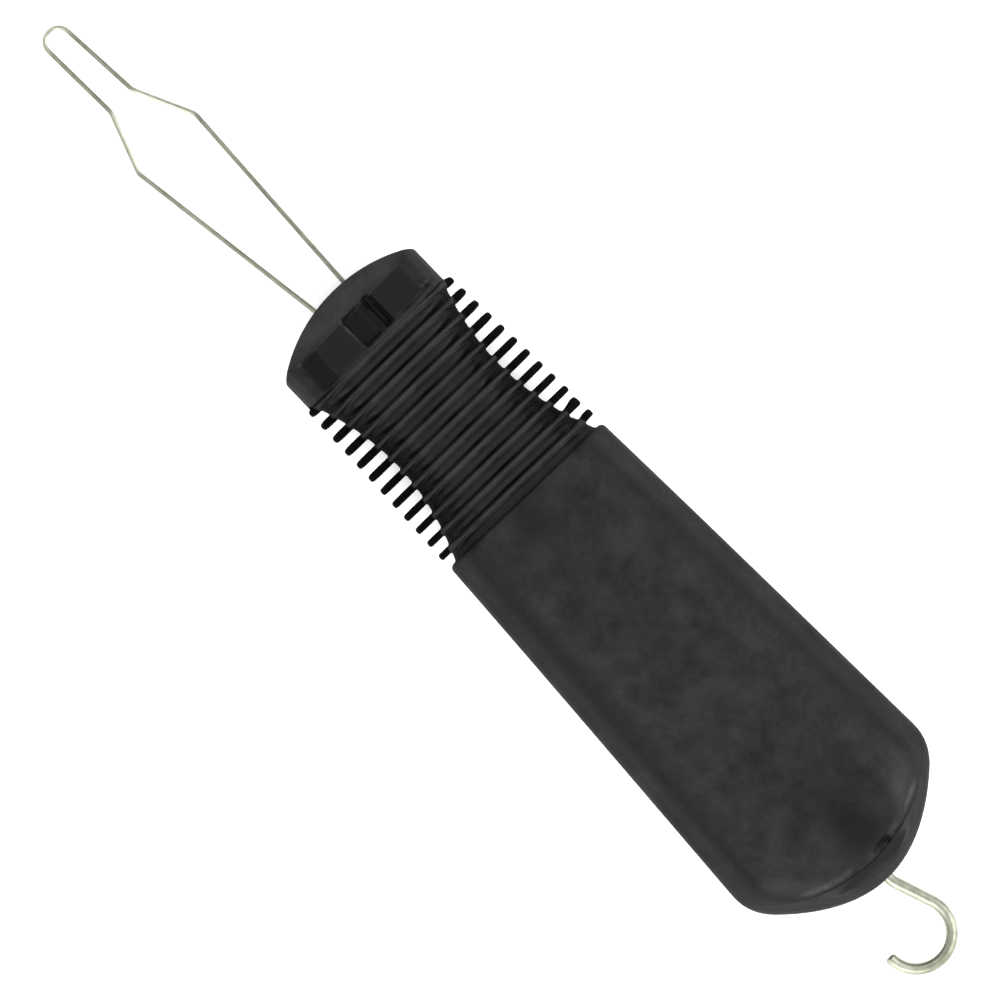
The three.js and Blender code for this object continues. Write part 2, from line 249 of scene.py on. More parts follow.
def bow(x):
    """How far the sleeve's middle is off the handle's line."""
    share = (np.clip(x, BOW_START, BOW_END) - BOW_START) / BOW_LENGTH
    return BOW_RISE * np.sin(math.pi * share**BOW_SKEW)


def lean(x):
    return FIN_LEAN * np.clip((BODY_START - x) / 12, 0, 1)


def ring(x, sizes, inset=0.0, shift=None):
    half_width, half_thickness, flat_share = sizes
    y, z = section(half_width - inset, half_thickness - inset, flat_share)
    y = y + (bow(x) if shift is None else shift)
    return np.stack([x - lean(x) * y, y, z], 1)


# ---- meshes ------------------------------------------------------------------


def mesh_object(name, vertices, faces):
    mesh = bpy.data.meshes.new(name)
    mesh.from_pydata(place(vertices).tolist(), [], faces)
    mesh.validate()
    mesh.update()
    piece = bpy.data.objects.new(name, mesh)
    bpy.context.scene.collection.objects.link(piece)
    return piece


def shade(piece, sharp_angle=40):
    bpy.ops.object.select_all(action="DESELECT")
    piece.select_set(True)
    bpy.context.view_layer.objects.active = piece
    bpy.ops.object.shade_smooth_by_angle(angle=math.radians(sharp_angle))


def grid_faces(rows, columns, closed_rows=False):
    """Quads between rows of points that each close on themselves."""
    row = np.arange(rows if closed_rows else rows - 1)[:, None]
    column = np.arange(columns)[None, :]
    next_row, next_column = (row + 1) % rows, (column + 1) % columns
    corners = [row * columns + column, row * columns + next_column,
               next_row * columns + next_column, next_row * columns + column]
    return np.stack(np.broadcast_arrays(*corners), -1).reshape(-1, 4).tolist()


def keep_values(piece, name, values):
    """Store a number or a vector for each vertex, which its material reads."""
    kind, field = ("FLOAT", "value") if values.ndim == 1 else ("FLOAT_VECTOR", "vector")
    attribute = piece.data.attributes.new(name, kind, "POINT")
    attribute.data.foreach_set(field, np.ascontiguousarray(values, float).ravel())


def handle_points(piece):
    """The piece's vertices in handle coordinates."""
    points = np.empty(len(piece.data.vertices) * 3)
    piece.data.vertices.foreach_get("co", points)
    return points.reshape(-1, 3) / MM - (NOSE_X, 0, MID_Z)


def ring_mesh(name, rings, closed=False):
    """A surface through rings of equal length, its ends closed by a point unless it closes on itself."""
    rows, columns = len(rings), len(rings[0])
    vertices = np.concatenate(rings)
    faces = grid_faces(rows, columns, closed)
    if not closed:
        ends = np.array([rings[0].mean(0), rings[-1].mean(0)])
        first, last = len(vertices), len(vertices) + 1
        vertices = np.concatenate([vertices, ends])
        for i in range(columns):
            j = (i + 1) % columns
            faces.append((first, j, i))
            faces.append((last, (rows - 1) * columns + i, (rows - 1) * columns + j))
    return mesh_object(name, vertices, faces)


# ---- the grip sleeve -----------------------------------------------------------

SIDE_FACE = np.sign(RING_C) * (np.abs(RING_C) > 0.35)  # which broad face a ring point is on
FRONT_RINGS, CAP_RING_STEP = 89, 0.22
RAY_REACH, HALVINGS = 60.0, 48  # how far and how finely the cap's surface is looked for along a ray
CURL_STEPS = 30


def cap_frame(x, y):
    """x and y as the turned nose cap sees them."""
    return x * math.cos(CAP_TURN) + y * math.sin(CAP_TURN), y * math.cos(CAP_TURN) - x * math.sin(CAP_TURN)


def nose_field(points):
    """Below zero inside the nose cap: its section, the bevels and the nose arc, with rounded edges."""
    x, y, z = points[..., 0], points[..., 1], np.abs(points[..., 2])
    half_width, half_thickness, flat_share = cap_sizes(x)
    flat = half_width * flat_share
    across = np.maximum(np.abs(y - CAP_SHIFT) - flat, 0) / (half_width - flat)
    up = z / half_thickness
    out, rise = across**SECTION_POWER, up**SECTION_POWER + 1e-9  # never both zero in the middle plane
    scale = (out * (half_width - flat) + rise * half_thickness) / (out + rise)
    outside = ((out + rise) ** (1 / SECTION_POWER) - 1) * scale
    slope = BEVEL_DROP / BEVEL_RUN
    edge = cap_sizes(BEVEL_RUN)[1]
    along = cap_frame(x, y)[0]
    bevel = (z - edge + slope * (BEVEL_RUN - along)) / math.hypot(1, slope)
    arc = np.hypot(x - NOSE_RADIUS, y - NOSE_OFFSET) - NOSE_RADIUS
    return smooth_max(smooth_max(outside, bevel, 0.5), arc, 0.3)


def nose_rings():
    """Rings from the middle of the nose's front out to the end of the cap."""
    centre = np.array([CAP_END, 0, 0])
    rim = ring(CAP_END, cap_sizes(CAP_END), shift=CAP_SHIFT) - centre
    front = np.linspace(0.01, 1, FRONT_RINGS + 1)[:-1]
    behind = CAP_END / (2 * CAP_END - np.arange(0, CAP_END, CAP_RING_STEP))
    shares = np.concatenate([front / (1 + front), behind])
    rays = rim[None] * shares[:, None, None]
    rays[..., 0] -= CAP_END * (1 - shares[:, None])
    low, high = np.zeros(rays.shape[:2]), np.full(rays.shape[:2], RAY_REACH)
    for _ in range(HALVINGS):
        middle = (low + high) / 2
        inside = nose_field(centre + rays * middle[..., None]) < 0
        low, high = np.where(inside, middle, low), np.where(inside, high, middle)
    return list(centre + rays * low[..., None])


def between(value, low, high, soft):
    """1 between two limits and 0 outside them, with soft steps."""
    rise = smoothstep(value, low - soft / 2, low + soft / 2)
    return rise * (1 - smoothstep(value, high - soft / 2, high + soft / 2))


def bay_depth(x, y):
    """How deep the nose cap's bays, and the groove behind them, are below its broad faces."""
    along, across = cap_frame(x, y)
    depth = sum(deep * between(across, low, high, soft) for deep, low, high, soft in BAYS)
    depth = depth * between(along, BAY_START, BAY_END, 0.7)
    groove = GROOVE_DEPTH * between(along, GROOVE_START, GROOVE_END, 0.3) * smoothstep(across, -9.5, 9)
    return np.maximum(depth, groove * (1 - smoothstep(across, 12.6, 13.2)))


def cap_rings():
    """The nose cap with its bays and a small socket around each leg of the wire loop."""
    rings = nose_rings()
    for points in rings:
        points[:, 2] -= SIDE_FACE * bay_depth(points[:, 0], points[:, 1])
        for side in (1, -1):
            exit_y = LOOP_ENTRY_Y + side * LOOP_LEG_HALF
            away = np.hypot(points[:, 1] - exit_y, points[:, 2])
            at_front = points[:, 0] < 2
            points[:, 0] += SOCKET_DEPTH * (1 - smoothstep(away, *SOCKET_EDGE)) * at_front
    return rings


ON_FACE = smoothstep(np.abs(RING_C), 0.55, 0.97)  # 1 on the broad faces, 0 around the sides

# The valley and foot on the nose side of a fin, and the foot on its tail side, as x from its centre
# and height above the neck. At the sides a foot is a plain fillet. On the broad faces the valley
# sinks into a fold.
NOSE_FOOT_SIDES = [
    (-1.39, 0), (-1.25, 0), (-1.1, 0), (-0.925, 0), (-0.75, 0.05), (-0.62, 0.175), (-0.575, 0.35)]
NOSE_FOOT_FACES = [
    (-1.39, 0.06), (-1.12, 0), (-0.9, -0.12), (-0.7, -0.26), (-0.52, -0.36), (-0.39, -0.32),
    (-0.345, -0.15)]
TAIL_FOOT_SIDES = [(0.575, 0.35), (0.62, 0.175), (0.75, 0.05), (0.925, 0), (1.05, 0), (1.2, 0)]
TAIL_FOOT_FACES = [(0.23, 0.3), (0.3, 0.04), (0.45, -0.06), (0.65, -0.03), (0.88, 0.04), (1.12, 0.08)]


def blended(sides, faces):
    """A profile for every ring point, between the one of the sides and the one of the broad faces."""
    return [(lerp((a, c), ON_FACE), lerp((b, d), ON_FACE)) for (a, b), (c, d) in zip(sides, faces)]


def bend_fin(index, points):
    """A few fins are bent out of true on their +y side."""
    shift, widening = FIN_BENDS.get(index, (0, 0))
    centre = FIRST_FIN + index * FIN_PITCH
    out = np.clip((points[:, 1] - BEND_START) / BEND_RUN, 0, 1)
    noseward = np.minimum(points[:, 0] - centre, 0)
    points[:, 0] += (shift + widening * noseward) * out**1.5
    points[:, 1] -= BEND_SHORTENING * abs(widening) * out
    return points


def fin_rings(index):
    """One fin: the valley before it, its foot, wall and rounded tip, and the wall and foot behind it.

    A fin is thick where it stands out at the sides and thins to a low ridge on the broad faces.
    """
    centre = FIRST_FIN + index * FIN_PITCH
    nose_half = FIN_THICKNESS / 2 * lerp((1, 0.6), ON_FACE)
    tail_half = FIN_THICKNESS / 2 * lerp((1, 0.4), ON_FACE)
    corner = 0.72 * tail_half
    nose_foot = blended(NOSE_FOOT_SIDES, NOSE_FOOT_FACES)
    tail_foot = blended(TAIL_FOOT_SIDES, TAIL_FOOT_FACES)
    profile = []  # x from the centre, height of the foot, share of the wall, depth below the tip
    if index > 0:
        profile += [(x, height, None, None) for x, height in nose_foot]
        profile += [(-nose_half, nose_foot[-1][1], share, None) for share in WALL_SHARES]
    turns = np.radians(range(0, 91, 18))
    quarter = [(corner * (1 - math.cos(turn)), corner * (1 - math.sin(turn))) for turn in turns]
    profile += [(inward - nose_half, None, None, depth) for inward, depth in quarter]
    profile += [(tail_half - inward, None, None, depth) for inward, depth in reversed(quarter)]
    profile += [(tail_half, tail_foot[0][1], share, None) for share in reversed(WALL_SHARES)]
    profile += [(x, height, None, None) for x, height in tail_foot]
    rings = []
    for offset, height, share, depth in profile:
        x = centre + offset
        neck, fin = ring(x, neck_sizes(x)), ring(x, fin_sizes(x))
        reach = np.linalg.norm(fin - neck, axis=1)
        if depth is not None:
            rise = reach - depth
        elif share is not None:
            rise = height + (reach - corner - height) * share
        else:
            rise = height
        points = neck + (fin - neck) * (rise / reach)[:, None]
        rings.append(bend_fin(index, points))
    return rings


def body_start_rings():
    """The wall from the neck up to the body, with a fillet at its foot and a round edge."""
    fillet, edge = 0.3, 0.9
    rings = []
    for angle in np.radians([0, 45, 90]):
        x = BODY_START - fillet * (1 - math.sin(angle))
        neck, body = ring(x, neck_sizes(x)), ring(x, body_sizes(BODY_START), shift=bow(x))
        reach = np.linalg.norm(body - neck, axis=1)[:, None]
        rings.append(neck + (body - neck) * fillet * (1 - math.cos(angle)) / reach)
    for angle in np.radians(range(0, 91, 15)):
        x = BODY_START + edge * (1 - math.cos(angle))
        rings.append(ring(x, body_sizes(x), edge * (1 - math.sin(angle))))
    return rings


def seam_arc(y, radius=SEAM_RADIUS):
    return SEAM_X - SEAM_RADIUS + np.sqrt(np.maximum(radius**2 - (y - SEAM_OFFSET) ** 2, 0))


def curved_ring(x, curl, inset=0.0, radius=SEAM_RADIUS):
    """A ring whose crest is at x and whose sides are swept back like the seam, by a share of its curl."""
    xs = np.full(RING_SIZE, 1.0) * x
    for _ in range(CURL_STEPS):
        half_width, half_thickness, flat_share = body_sizes(xs)
        flat = half_width * flat_share
        y = flat * RING_A + (half_width - inset - flat) * RING_B + bow(xs)
        xs = 0.5 * xs + 0.5 * (x - curl * (seam_arc(SEAM_OFFSET, radius) - seam_arc(y, radius)))
    z = (half_thickness - inset) * RING_C
    return np.stack([xs, y, z], 1)


def seam_open(y):
    """1 where the seam shows as a groove, fading to 0 where it closes up at the sides."""
    return 1 - smoothstep(np.abs(y - SEAM_OFFSET), SEAM_OPEN, SEAM_SHUT)


def lip_bead(y):
    """How far the sleeve's face slopes down to its edge at the seam: only beside the dish."""
    return LIP_DROP * between(np.abs(y - DISH_Y), *LIP_SPAN)


def hollow(y, sides):
    """1 between two slopes and 0 outside them."""
    return smoothstep(y, *sides[0]) * (1 - smoothstep(y, *sides[1]))


def dish_depth(x, y):
    """A shallow thumb dish on each broad face, off the middle, and a small pit where it meets the seam."""
    along = smoothstep(x, DISH_START, DISH_START + DISH_RUN) - 0.7 * smoothstep(x, SEAM_X - 7, SEAM_X)
    pit = hollow(y, PIT_SIDES) * (1 - smoothstep(seam_arc(y) - x, *PIT_EDGE))
    return DISH_DEPTH * hollow(y, DISH_SIDES) * along + PIT_DEPTH * pit


def tail_dish(points):
    points[:, 2] -= SIDE_FACE * dish_depth(points[:, 0], points[:, 1])
    return points


def sunk(points):
    """The plug's face starts as low as the sleeve's edge beside it, and rises to its own height."""
    x, y = points[:, 0], points[:, 1]
    low = (lip_bead(y) + dish_depth(x, y)) * (1 - smoothstep(x - seam_arc(y), 0, PLUG_RISE))
    points[:, 2] -= SIDE_FACE * low
    return points


def parted(points):
    """The fine witness line that the mould leaves along both sides."""
    points[:, 1] -= PARTING_DEPTH * np.sign(RING_B) * (np.abs(RING_C) < 1e-6)
    return points


def body_rings():
    first = BODY_START + 1.2
    rings = [parted(tail_dish(ring(x, body_sizes(x)))) for x in np.linspace(first, CURL_START, 68)]
    middle = np.linspace(CURL_START + 0.8, SEAM_X - LIP_RUN, 48)
    curls = smoothstep(middle, CURL_START, SEAM_X - 3)
    rings += [parted(tail_dish(curved_ring(x, curl))) for x, curl in zip(middle, curls)]
    opened = seam_open(rings[-1][:, 1])
    bead = lip_bead(rings[-1][:, 1])
    edge = lerp(SLEEVE_EDGE, opened)
    for share in np.linspace(0, 1, 7)[1:]:
        x = SEAM_X - LIP_RUN + (LIP_RUN - edge) * share
        rings.append(parted(tail_dish(curved_ring(x, 1, bead * share**1.5))))
    for angle in np.radians(range(15, 91, 15)):
        x = SEAM_X - edge * (1 - math.sin(angle))
        rings.append(parted(tail_dish(curved_ring(x, 1, bead + edge * (1 - math.cos(angle))))))
    return rings


def cavity_rings():
    """The inside of the sleeve, from the seam back to the blind end behind the nose."""
    stations = [(None, CORE_WIDE_HALF + GAP)]
    stations += [(x, CORE_WIDE_HALF + GAP) for x in (110, 80, CORE_WIDE_START)]
    stations += [(x, CORE_NARROW_HALF + GAP) for x in (CORE_NARROW_END, 25, CORE_START - GAP)]
    rings = []
    for x, half_width in stations:
        y, z = boxed(half_width, CORE_HALF_THICKNESS + GAP)
        xs = seam_arc(y) if x is None else np.full(RING_SIZE, x)
        rings.append(np.stack([xs, y, z], 1))
    return rings


def grip_sleeve():
    rings = cap_rings()
    for index in range(FIN_COUNT):
        rings += fin_rings(index)
    rings += body_start_rings() + body_rings() + cavity_rings()
    return ring_mesh("soft_grip_sleeve", rings)


# ---- the tail plug ---------------------------------------------------------------


def tail_plug():
    """A ring-shaped solid around the hook's hole: spigot, seam face, rounded end and bore."""
    bore = HOOK_WIRE / 2 + GAP
    circle = np.stack([np.zeros(RING_SIZE), np.cos(RING_TURN), np.sin(RING_TURN)], 1)
    spigot = np.stack([np.zeros(RING_SIZE), *boxed(CORE_WIDE_HALF, CORE_HALF_THICKNESS)], 1)
    rings = [circle * bore + (SPIGOT_START, 0, 0)]
    rings.append(spigot * (1, 0.98, 0.96) + (SPIGOT_START, 0, 0))
    rings.append(spigot + (SPIGOT_START + 0.3, 0, 0))
    opened = seam_open(curved_ring(SEAM_X, 1)[:, 1])
    shut = SEAM_RADIUS + SEAM_GAP
    land = curved_ring(SEAM_X + SEAM_GAP, 1, lerp(PLUG_LAND, opened), shut)  # closes the seam from below
    foot = spigot.copy()
    foot[:, 0] = seam_arc(foot[:, 1], shut)
    rings += [foot, sunk(land)]
    seam, lip = shut + SEAM_GAP * opened, lerp(PLUG_LIP, opened)
    for angle in np.radians(range(0, 91, 15)):
        x = SEAM_X + SEAM_GAP + SEAM_GAP * opened + lip * (1 - math.cos(angle))
        rings.append(sunk(curved_ring(x, 1, lip * (1 - math.sin(angle)), seam)))
    start = rings[-1][:, 0]
    apex = HANDLE_LENGTH - 0.1
    for share in np.linspace(0, 1, 34)[1:]:
        xs = apex - (apex - start) * (1 - share) ** 2
        half_width, half_thickness, flat_share = body_sizes(xs)
        flat = half_width * flat_share
        y = flat * RING_A + (half_width - flat) * RING_B + bow(xs)
        rings.append(sunk(np.stack([xs, y, half_thickness * RING_C], 1)))
    rings.append(circle * (bore + 0.25) + (HANDLE_LENGTH - 0.06, 0, 0))
    rings.append(circle * bore + (HANDLE_LENGTH - 0.25, 0, 0))
    return ring_mesh("moulded_tail_plug", rings, closed=True)


# ---- wires ------------------------------------------------------------------------


GRAIN, GRAIN_RUN = 2.2, 0.12  # how fine the lengthwise drawing marks are, around a wire and along it
GLINT_TIP = (57.0, 60.0)  # from the nose, where the loop's tip takes on its painted highlight
SHADED_TURN = (139.5, 142.0)  # the far side of the hook's turn fades into painted shade between these
CUT_EDGE = 0.16  # the rounding of a wire's cut end, as a share of its diameter


def rounded_line(points, bend):
    """A polyline with a quadratic curve at each corner, starting one bend length from it."""
    points = [np.array(point, float) for point in points]
    line = [points[0]]
    for before, corner, after in zip(points, points[1:], points[2:]):
        into = min(bend, np.linalg.norm(corner - before) / 2)
        out = min(bend, np.linalg.norm(after - corner) / 2)
        start = corner + (before - corner) * into / np.linalg.norm(before - corner)
        end = corner + (after - corner) * out / np.linalg.norm(after - corner)
        for t in np.linspace(0, 1, 9):
            line.append((1 - t) ** 2 * start + 2 * t * (1 - t) * corner + t**2 * end)
    line.append(points[-1])
    return np.array(line)


def evenly(line, spacing):
    lengths = np.concatenate([[0], np.cumsum(np.linalg.norm(np.diff(line, axis=0), axis=1))])
    keep = np.concatenate([[True], np.diff(lengths) > 1e-6])
    line, lengths = line[keep], lengths[keep]
    at = np.linspace(0, lengths[-1], int(lengths[-1] / spacing) + 2)
    return np.stack([np.interp(at, lengths, line[:, i]) for i in range(2)], 1)


def wire(name, line, diameter, spacing, sides=28):
    """A round wire in the handle's middle plane along a line, its cut ends slightly rounded."""
    centres = evenly(line, spacing)
    tangents = np.gradient(centres, axis=0)
    tangents /= np.linalg.norm(tangents, axis=1)[:, None]
    radius, edge = diameter / 2, diameter * CUT_EDGE
    shifts, radii = [], []
    for angle in np.radians([0, 30, 60, 90]):
        shifts.append(edge * (1 - math.sin(angle)))
        radii.append(radius - edge * (1 - math.cos(math.pi / 2 - angle)))
    rings = []
    around = np.linspace(0, 2 * math.pi, sides, endpoint=False)

    def add(centre, tangent, size):
        across = np.array([-tangent[1], tangent[0], 0])
        circle = np.cos(around)[:, None] * across + np.sin(around)[:, None] * (0, 0, 1)
        rings.append(np.array([centre[0], centre[1], 0]) + circle * size)

    for shift, size in zip(shifts, radii):
        add(centres[0] + tangents[0] * (edge - shift), tangents[0], size)
    for centre, tangent in zip(centres[1:-1], tangents[1:-1]):
        add(centre, tangent, radius)
    for shift, size in reversed(list(zip(shifts, radii))):
        add(centres[-1] - tangents[-1] * (edge - shift), tangents[-1], size)
    piece = ring_mesh(name, rings)
    run = np.concatenate([np.repeat(np.arange(len(rings)) * spacing, sides), [0, 0]])
    turn = np.concatenate([np.tile(around, len(rings)), [0, 0]])
    grain = np.stack([GRAIN * np.cos(turn), GRAIN * np.sin(turn), GRAIN_RUN * run], 1)
    keep_values(piece, "grain", grain)
    points = handle_points(piece)
    out = -points[:, 0] * math.cos(LOOP_LEAN) - points[:, 1] * math.sin(LOOP_LEAN)
    # Painted highlight on the loop's slanting stretch and its tip and on the hook, which fades into
    # painted shade on the far side of its turn.
    rubbing_and_glint = between(out, LOOP_WIDE[0], LOOP_NECK[0], 1.5) + smoothstep(out, *GLINT_TIP)
    rubbing_and_glint += (out < -HANDLE_LENGTH / 2) * (1 - smoothstep(points[:, 0], *SHADED_TURN))
    keep_values(piece, "painted_glint", rubbing_and_glint)
    return piece


def loop_point(out, offset):
    x = -out * math.cos(LOOP_LEAN) - offset * math.sin(LOOP_LEAN)
    y = LOOP_ENTRY_Y - out * math.sin(LOOP_LEAN) + offset * math.cos(LOOP_LEAN)
    return x, y


def loop_line():
    def leg(side):
        inner = -LOOP_LEG_INSIDE
        corners = [(inner, LOOP_LEG_HALF - LOOP_FOOT), (inner, LOOP_LEG_HALF), (0, LOOP_LEG_HALF),
                   LOOP_WIDE, LOOP_NECK]
        return [loop_point(out, side * offset) for out, offset in corners]

    out, half = LOOP_TIP
    angles = np.radians(np.arange(90, -91, -6))
    tip = [loop_point(out + half * math.cos(a), half * math.sin(a)) for a in angles]
    upper = rounded_line(leg(1) + [tip[0]], LOOP_BEND)
    lower = rounded_line(leg(-1) + [tip[-1]], LOOP_BEND)[::-1]
    return np.concatenate([upper, tip, lower])


def hook_line():
    angles = np.linspace(HOOK_FROM, HOOK_TO, 70)
    centre = np.array(HOOK_CENTRE)
    turn = centre + HOOK_RADIUS * np.stack([np.cos(angles), np.sin(angles)], 1)
    inner = HANDLE_LENGTH - HOOK_SHANK_INSIDE
    shank = [(inner, HOOK_FOOT), (inner, 0), (HOOK_KNEE_X, 0), turn[0]]
    return np.concatenate([rounded_line(shank, HOOK_BEND), turn])


# ---- materials ------------------------------------------------------------------


class Nodes:
    """A short way to write a material's node tree."""

    def __init__(self, name):
        self.material = bpy.data.materials.new(name)
        self.material.use_nodes = True
        self.tree = self.material.node_tree
        self.shader = self.tree.nodes["Principled BSDF"]

    def add(self, kind, inputs=(), **settings):
        node = self.tree.nodes.new(kind)
        for key, value in settings.items():
            setattr(node, key, value)
        for key, value in dict(inputs).items():
            if isinstance(value, bpy.types.NodeSocket):
                self.tree.links.new(value, node.inputs[key])
            else:
                node.inputs[key].default_value = value
        return node

    def set(self, **values):
        for key, value in values.items():
            self.to(key.replace("_", " "), value)

    def to(self, key, value):
        if isinstance(value, bpy.types.NodeSocket):
            self.tree.links.new(value, self.shader.inputs[key])
        else:
            self.shader.inputs[key].default_value = value

    def noise(self, vector, scale, detail=2.0, roughness=0.5):
        inputs = {"Vector": vector, "Scale": scale, "Detail": detail, "Roughness": roughness}
        return self.add("ShaderNodeTexNoise", inputs).outputs["Fac"]

    def ramp(self, value, stops):
        node = self.add("ShaderNodeValToRGB", {"Fac": value})
        elements = node.color_ramp.elements
        while len(elements) < len(stops):
            elements.new(0.5)
        for element, (position, colour) in zip(elements, stops):
            element.position = position
            element.color = (*colour, 1)
        return node.outputs["Color"]

    def spread(self, value, low, high):
        inputs = {"Value": value, "To Min": low, "To Max": high}
        return self.add("ShaderNodeMapRange", inputs).outputs["Result"]

    def stretch(self, value, low, high):
        inputs = {"Value": value, "From Min": low, "From Max": high}
        return self.add("ShaderNodeMapRange", inputs).outputs["Result"]

    def bump(self, height, strength, distance, normal=None):
        inputs = {"Height": height, "Strength": strength, "Distance": distance}
        if normal is not None:
            inputs["Normal"] = normal
        return self.add("ShaderNodeBump", inputs).outputs["Normal"]

    def point(self):
        return self.add("ShaderNodeTexCoord").outputs["Object"]


def soft_black(name, light, dark, roughness, ior=1.3):
    """Moulded matt black: cloudy mottling, a fine grain and patches that hands have made smoother.

    Each vertex's stored painted light, painted shade and painted highlights, scales the colour, and its
    "dry" is added to the roughness.
    """
    m = Nodes(name)
    point = m.point()
    cloud = m.noise(point, 190, 6, 0.68)
    # The stored painted light: painted shade and painted highlights that scale the colour.
    painted_light = m.add("ShaderNodeAttribute", attribute_name="painted_light").outputs["Fac"]
    colour = m.ramp(cloud, [(0.36, dark), (0.64, light)])
    toned = m.add("ShaderNodeVectorMath", {0: colour}, operation="SCALE")
    m.tree.links.new(painted_light, toned.inputs["Scale"])
    m.to("Base Color", toned.outputs["Vector"])
    rubbing_and_glint = m.spread(m.stretch(m.noise(point, 110, 5, 0.6), 0.35, 0.65), *roughness)
    dry = m.add("ShaderNodeAttribute", attribute_name="dry").outputs["Fac"]
    m.to("Roughness", m.add("ShaderNodeMath", {0: dry, 1: rubbing_and_glint}, operation="ADD").outputs["Value"])
    ripple = m.bump(m.noise(point, 330, 4, 0.6), 0.5, 0.0003)
    m.to("Normal", m.bump(m.noise(point, 2300, 4, 0.7), 0.5, 0.00008, ripple))
    m.set(IOR=ior)
    return m.material


def moulded_natural(name):
    m = Nodes(name)
    point = m.point()
    mottle = m.noise(point, 70, 3)
    m.to("Base Color", m.ramp(mottle, [(0.35, (0.62, 0.6, 0.54)), (0.7, (0.71, 0.69, 0.63))]))
    m.to("Roughness", m.spread(m.noise(point, 240, 2), 0.42, 0.58))
    m.to("Normal", m.bump(m.noise(point, 900, 2), 0.2, 0.00005))
    return m.material


def drawn_steel(name, shaded, bright, roughness):
    """Drawn wire: fine marks along its "grain", darker specks, and a painted highlight that brightens the
    metal from its painted-shade colour.
    """
    m = Nodes(name)
    point = m.point()
    grain = m.add("ShaderNodeAttribute", attribute_name="grain").outputs["Vector"]
    painted_glint = m.add("ShaderNodeAttribute", attribute_name="painted_glint").outputs["Fac"]
    marks = m.spread(m.stretch(m.noise(grain, 1, 3, 0.6), 0.35, 0.65), 0.62, 1.12)
    specks = m.spread(m.stretch(m.noise(point, 900, 3, 0.6), 0.3, 0.6), 0.8, 1.05)
    tint = m.add("ShaderNodeMath", {0: marks, 1: specks}, operation="MULTIPLY").outputs["Value"]
    metal = m.ramp(painted_glint, [(0, shaded), (1, bright)])
    toned = m.add("ShaderNodeVectorMath", {0: metal}, operation="SCALE")
    m.tree.links.new(tint, toned.inputs["Scale"])
    m.to("Base Color", toned.outputs["Vector"])
    m.set(Metallic=1.0)
    m.to("Roughness", m.spread(m.noise(grain, 1.6, 3), *roughness))
    m.to("Normal", m.bump(m.noise(point, 1500, 3), 0.25, 0.00004))
    return m.material


# ---- the pieces --------------------------------------------------------------------

RUBBER = soft_black("grip_rubber", (0.0121, 0.0128, 0.0122), (0.0018, 0.0021, 0.0019), (0.42, 0.52))
# A darker, less shiny copy of the rubber for the deeper bay floors and the pit: painted shade.
RECESS = soft_black(
    "grip_rubber_recess", (0.004, 0.0041, 0.0038), (0.002, 0.0021, 0.0019), (0.4, 0.5), ior=1.24)
# A near-black, barely shiny copy for the fins' free tips: painted shade.
FIN_TIP = soft_black(
    "grip_rubber_fin_tip", (0.002, 0.002, 0.0019), (0.001, 0.001, 0.001), (0.5, 0.6), ior=1.07)
# A paler copy for the fins' crests: painted highlight.
CREST = soft_black("grip_rubber_fin_crest", (0.018, 0.0187, 0.018), (0.0095, 0.01, 0.0095), (0.4, 0.5))
PLUG = soft_black("plug_plastic", (0.0112, 0.0117, 0.0113), (0.0055, 0.0059, 0.0056), (0.4, 0.5))
CORE = moulded_natural("core_plastic")
# The wires' first colours are their painted shade, the second their painted highlight.
LOOP_STEEL = drawn_steel("loop_steel", (0.315, 0.325, 0.255), (0.52, 0.535, 0.43), (0.25, 0.4))
HOOK_STEEL = drawn_steel("hook_steel", (0.32, 0.33, 0.256), (0.45, 0.465, 0.37), (0.38, 0.52))

SHADED_PATCHES = [(48.0, -1.5, 0.8), (49.0, -12.5, 0.8)]  # painted shade in spots by the neck, standing in for a darker reflection: x, y, how dark
SHADED_PATCH_LENGTH, SHADED_PATCH_WIDTH = 5.0, 3.5
DISH_POLISH = 0.12  # how much smoother the thumb dish is rubbed
DISH_MIDDLE, DISH_BREADTH = 2.1, 6.2  # of its painted shade, across the body
RIDGE_ABOVE = 0.55  # a fin's crest is what stands this far above the neck's face
TIP_BEYOND = 0.25  # and its free tip this far beyond the neck's side
# Painted highlights on the rib and on the sleeve's edge beside the seam.
RIB_HIGHLIGHT, CRESCENT_HIGHLIGHT = 1.8, 3.2
DRY_SIDES = 0.4
PLUG_SIDE_SHADE = 1.2  # how much painted shade darkens the plug's steep end, in step with its dryness


def off_fins(x, y=0.0):
    """How far tailwards of the nearest fin's middle a point on the neck is."""
    return (x + lean(x) * y - FIRST_FIN + FIN_PITCH / 2) % FIN_PITCH - FIN_PITCH / 2


def in_dish(x, y):
    across = np.exp(-(((y - DISH_MIDDLE) / DISH_BREADTH) ** 2))
    return smoothstep(x, DISH_START - 4, SEAM_X - 6) * across


